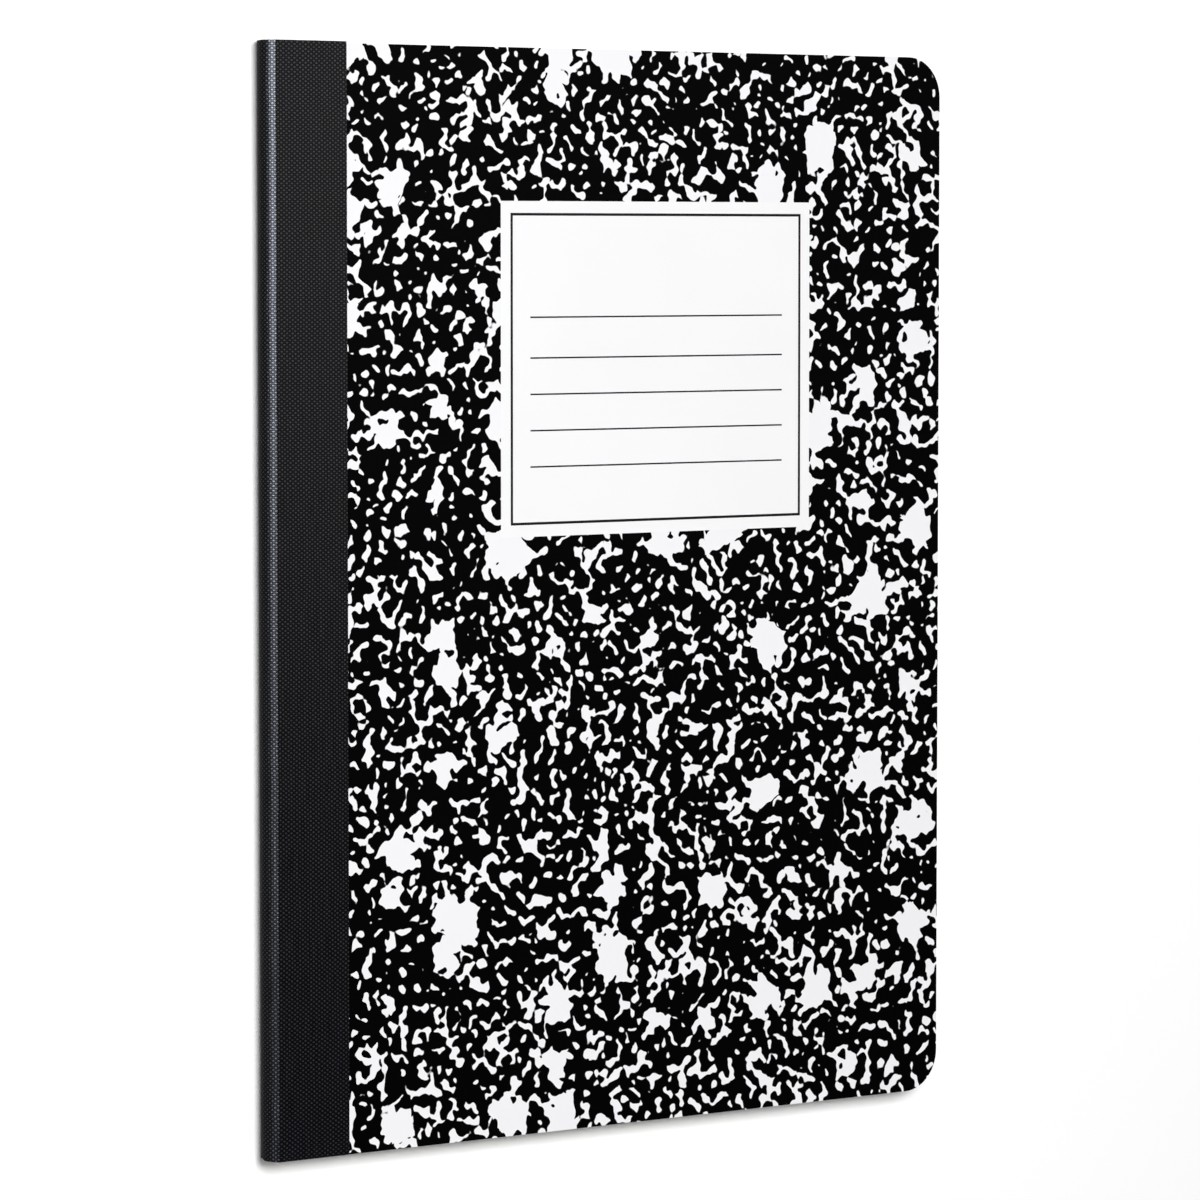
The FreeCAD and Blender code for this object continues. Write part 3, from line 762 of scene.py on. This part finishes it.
def makeLeaves():
    s = leaves
    rng = random.Random(s["seed"])
    blockTop, blockBottom = coverLow.z, backHigh.z
    halfBlock = (blockTop - blockBottom) / 2
    centreZ = (blockTop + blockBottom) / 2
    pitch = halfBlock / s["sheets"]
    thickness = pitch * s["paperShare"]
    centreX, spineRadius = spineArc()
    foldRadius = spineRadius - tapeThickness
    edgePaper, rightPage, leftPage = 0, 1, 2  # the block's materials, in the order added below
    vertices = []
    faces = []
    pageKind = []
    for sheet in range(s["sheets"]):
        endX = foreX - rng.uniform(0, s["trimWander"]) * mm
        headSlip = rng.uniform(0, s["slip"]) * mm
        tailSlip = rng.uniform(0, s["slip"]) * mm
        outer = sheetProfile(sheet * pitch, endX, centreX, foldRadius, halfBlock)
        inner = sheetProfile(sheet * pitch + thickness, endX, centreX, foldRadius, halfBlock)
        start = len(vertices)
        for point in outer + inner:
            # the round corner stands back with the leaf's own edge
            half = halfHeightAt(point.x + foreX - endX if point.x > 0 else point.x)
            z = centreZ + point.z
            vertices.append((point.x, -half + tailSlip + spineWear(point.x, z, "tailDepth"), z))
            vertices.append((point.x, half - headSlip - spineWear(point.x, z, "headDepth"), z))
        count = len(outer)
        shift = 2 * count
        leafPoints = (count - s["foldSteps"] - 1) // 2
        for i in range(count - 1):
            a = start + 2 * i
            kind = edgePaper
            if sheet == 0 and i < leafPoints:
                kind = rightPage
            elif sheet == 0 and i >= count - 1 - leafPoints:
                kind = leftPage
            faces.append((a, a + 1, a + 3, a + 2))
            faces.append((a + shift, a + shift + 2, a + shift + 3, a + shift + 1))
            faces.append((a, a + 2, a + shift + 2, a + shift))
            faces.append((a + 1, a + shift + 1, a + shift + 3, a + 3))
            pageKind += [kind, edgePaper, edgePaper, edgePaper]
        for end in (0, count - 1):
            a = start + 2 * end
            faces.append((a, a + shift, a + shift + 1, a + 1))
            pageKind.append(edgePaper)
    block = meshObject("foldedLeaves", vertices, faces, smooth=False)
    margin = writingPaper["marginFromSpine"] * mm
    block.data.materials.append(writingPaperMaterial("leafEdges"))
    block.data.materials.append(writingPaperMaterial("ruledRightPage", spineX + margin))
    block.data.materials.append(writingPaperMaterial("ruledLeftPage", foreX - margin))
    for polygon, kind in zip(block.data.polygons, pageKind):
        polygon.material_index = kind
    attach(block, "pages")
    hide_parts("text_block")


makeLeaves()
print("leaves made")


# Sewing: a lock stitch through the fold of all the sheets, cut off with them at head and tail.
seam = {
    "stitchPitch": 6.4,  # mm between needle holes
    "pointsPerStitch": 8,
    "pull": 0.22,  # mm that a run is pulled in at each hole
    "pullPower": 3,  # a higher power keeps the pull closer to the hole
    "holeShare": 0.9,  # thickness of the thread in a hole, as a share of that outside
    "sides": 8,
    "creaseAngle": 60,  # degrees over which an edge of the mesh stays sharp
}


def tube(line, radius, sides, vertices, faces):
    start = len(vertices)
    for i, point in enumerate(line):
        ahead = (line[min(i + 1, len(line) - 1)] - line[max(i - 1, 0)]).normalized()
        across = ahead.cross(Vector((0, 0, 1))).normalized()
        above = across.cross(ahead)
        for side in range(sides):
            turn = 2 * math.pi * side / sides
            vertices.append(point + (across * math.cos(turn) + above * math.sin(turn)) * radius)
    for i in range(len(line) - 1):
        for side in range(sides):
            a = start + i * sides + side
            b = start + i * sides + (side + 1) % sides
            faces.append((a, b, b + sides, a + sides))
    faces.append(tuple(start + side for side in reversed(range(sides))))
    faces.append(tuple(start + (len(line) - 1) * sides + side for side in range(sides)))


def makeSeam():
    s = seam
    low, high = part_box("sewing_thread")
    radius = (high.z - low.z) / 2
    z = (low.z + high.z) / 2
    outerX, innerX = low.x + radius, high.x - radius
    pitch = s["stitchPitch"] * mm
    firstHole = tailY + pitch / 2
    length = high.y - low.y
    steps = round(length / pitch * s["pointsPerStitch"])
    vertices = []
    faces = []
    for x, inward in ((outerX, 1), (innerX, -1)):
        line = []
        for step in range(steps + 1):
            y = low.y + length * step / steps
            fromHole = (y - firstHole) / pitch
            pulled = max(0.0, math.cos(2 * math.pi * fromHole)) ** s["pullPower"]
            line.append(Vector((x + inward * pulled * s["pull"] * mm, y, z)))
        tube(line, radius, s["sides"], vertices, faces)
    y = firstHole
    while y < headY:
        hole = [Vector((outerX, y, z)), Vector((innerX, y, z))]
        tube(hole, radius * s["holeShare"], s["sides"], vertices, faces)
        y += pitch
    thread = meshObject("sewnSeam", [tuple(v) for v in vertices], faces)
    sharpenByAngle(thread, s["creaseAngle"])
    dress(thread, sewingCottonMaterial())
    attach(thread, "pages")
    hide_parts("sewing_thread")


makeSeam()
print("seam made")


def dressSolids():
    board = pasteboardMaterial()
    white = labelMaterial("labelWhite", labelPrint["white"])
    black = labelMaterial("labelInk", labelPrint["black"])
    for name, material in (("front_cover", board), ("back_cover", board), ("label_panel", white),
                           ("label_frame", black), ("label_rules", black)):
        dress(nodes[name], material)


dressSolids()
print("solids dressed")


# Studio: a white table that keeps the shadow, a large soft lamp high over the spine side, a weak one
# over the fore-edge, and a lit card low beside the spine that shows in the gloss of the cloth.
studio = {
    "floorHalf": 4.0,  # m from the middle of the table to its edge
    "floorColour": "#FFFFFF",
    "floorInReflections": "#8A8A8A",  # darker in the gloss, as with a black card beside the spine
    "floorGlow": 0.12,  # share of its own white that the table adds to what the camera sees
    "floorDrop": 1.12,  # mm under the closed book, so that its back cover has room to open flat
    "worldLevel": 0.08,
    "lamps": {
        # name: (place in m, aim in m, size in m, watts, colour, whether it shows in the gloss alone)
        "headSoftbox": ((-0.48, 0.36, 1.3), (0.0, -0.55, 0.0), (0.62, 0.45), 22.6, "#FFFFFF", False),
        "rightSoftbox": ((0.5, 0.3, 0.95), (0.0, 0.0, 0.0), (0.5, 0.7), 2.1, "#FFFFFF", False),
        "spineCard": ((-1.15, 0.25, 0.23), (-0.09, 0.0, 0.0), (1.1, 0.42), 60.0, "#E9F0FF", True),
    },
}


def aimed(place, target, upward):
    # rotation that looks from one point at another, with the given direction up in the picture
    back = (Vector(place) - Vector(target)).normalized()
    right = Vector(upward).cross(back).normalized()
    up = back.cross(right)
    return Matrix((right, up, back)).transposed().to_4x4()


def makeStudio():
    s = studio
    size = s["floorHalf"]
    floor = meshObject("tableTop", [(-size, -size, 0), (size, -size, 0), (size, size, 0), (-size, size, 0)],
                       [(0, 1, 2, 3)], smooth=False)
    floor.location.z = -s["floorDrop"] * mm
    material, tree = newMaterial("whiteTable")
    ray = addNode(tree, "ShaderNodeLightPath")
    colour = addNode(tree, "ShaderNodeMix",
                     {0: ray.outputs["Is Glossy Ray"], 6: linearColour(s["floorColour"]),
                      7: linearColour(s["floorInReflections"])}, data_type="RGBA")
    diffuse = addNode(tree, "ShaderNodeBsdfDiffuse", {"Color": colour.outputs[2]})
    glow = addNode(tree, "ShaderNodeEmission", {"Strength": 1.0})
    share = addNode(tree, "ShaderNodeMath", {0: ray.outputs["Is Camera Ray"], 1: s["floorGlow"]},
                    operation="MULTIPLY")
    mixed = addNode(tree, "ShaderNodeMixShader",
                    {0: share.outputs[0], 1: diffuse.outputs[0], 2: glow.outputs[0]})
    addNode(tree, "ShaderNodeOutputMaterial", {"Surface": mixed.outputs[0]})
    dress(floor, material)

    world = bpy.data.worlds.new("studioWorld")
    world.use_nodes = True
    bpy.context.scene.world = world
    tree = world.node_tree
    tree.nodes.clear()
    light = addNode(tree, "ShaderNodeBackground", {"Color": (1, 1, 1, 1), "Strength": s["worldLevel"]})
    white = addNode(tree, "ShaderNodeBackground", {"Color": (1, 1, 1, 1), "Strength": 1.0})
    ray = addNode(tree, "ShaderNodeLightPath")
    mixed = addNode(tree, "ShaderNodeMixShader",
                    {0: ray.outputs["Is Camera Ray"], 1: light.outputs[0], 2: white.outputs[0]})
    addNode(tree, "ShaderNodeOutputWorld", {"Surface": mixed.outputs[0]})

    lampUp = (0, 1, 0.01)  # tilted, so that a lamp may also look straight along the table
    for name, (place, target, sizes, watts, colour, glossOnly) in s["lamps"].items():
        lamp = bpy.data.lights.new(name, "AREA")
        lamp.shape = "RECTANGLE"
        lamp.size, lamp.size_y = sizes
        lamp.energy = watts
        lamp.color = linearColour(colour)[:3]
        holder = bpy.data.objects.new(name, lamp)
        holder.matrix_world = Matrix.Translation(place) @ aimed(place, target, lampUp)
        holder.visible_diffuse = not glossOnly
        bpy.context.scene.collection.objects.link(holder)


# Camera: it looks down over the spine at about 54 degrees, with the head of the book up in the picture.
viewpoint = {
    "place": (-0.77645, 0.0792, 1.0562),  # m
    "target": (-0.0054, -0.0021, 0.0072),
    "lens": 170.4,  # mm
    "sensor": 36.0,
    "clip": (0.05, 20.0),  # m
}


def makeCamera():
    s = viewpoint
    data = bpy.data.cameras.new("studioCamera")
    data.lens = s["lens"]
    data.sensor_width = s["sensor"]
    data.clip_start, data.clip_end = s["clip"]
    camera = bpy.data.objects.new("studioCamera", data)
    camera.matrix_world = Matrix.Translation(s["place"]) @ aimed(s["place"], s["target"], (0, 1, 0))
    bpy.context.scene.collection.objects.link(camera)
    bpy.context.scene.camera = camera


makeStudio()
makeCamera()
bpy.context.scene.view_settings.view_transform = "Standard"
print("studio and camera made")
